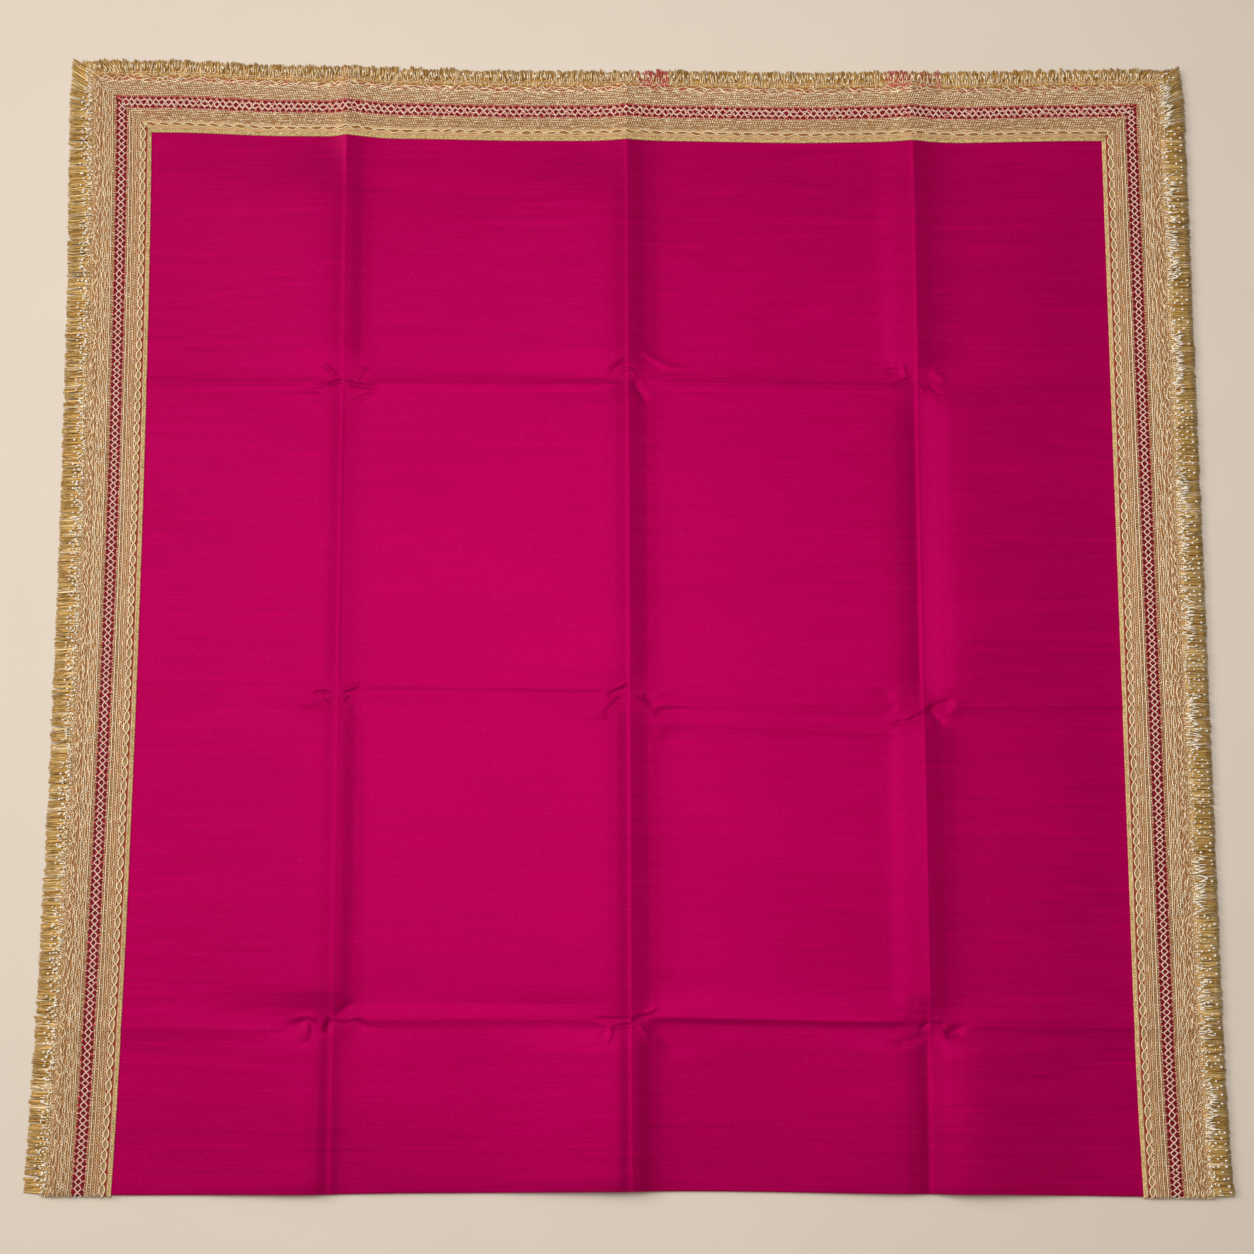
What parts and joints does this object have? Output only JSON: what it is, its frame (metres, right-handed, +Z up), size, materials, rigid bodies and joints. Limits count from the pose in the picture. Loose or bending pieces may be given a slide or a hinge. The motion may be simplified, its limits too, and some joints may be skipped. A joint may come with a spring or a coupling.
{
  "type": "folded saree laid flat",
  "caption": "Saree laid flat with its finished end on top, edged with gold lace and fringe, creased from storage, the rest folded beneath.",
  "frame": {"origin": "on the surface below the middle of the laid-out saree", "axes": "+Z up from the surface it lies on, +Y along the cloth from the near fold to the finished end, +X across the cloth to its right edge"},
  "size_m": [1.1667, 1.1636, 0.0143],
  "materials": {
    "pink_silk": "satin",
    "pink_silk_hidden": "satin",
    "gold_lace": "metallic thread",
    "gold_thread": "metallic thread"
  },
  "bodies": {
    "root": {"top_stretch": "pink_silk", "folded_stretch": "pink_silk_hidden", "lace_left": "gold_lace", "lace_far": "gold_lace", "lace_right": "gold_lace", "fringe_left": "gold_thread", "fringe_far": "gold_thread", "fringe_right": "gold_thread"}
  },
  "joints": []
}
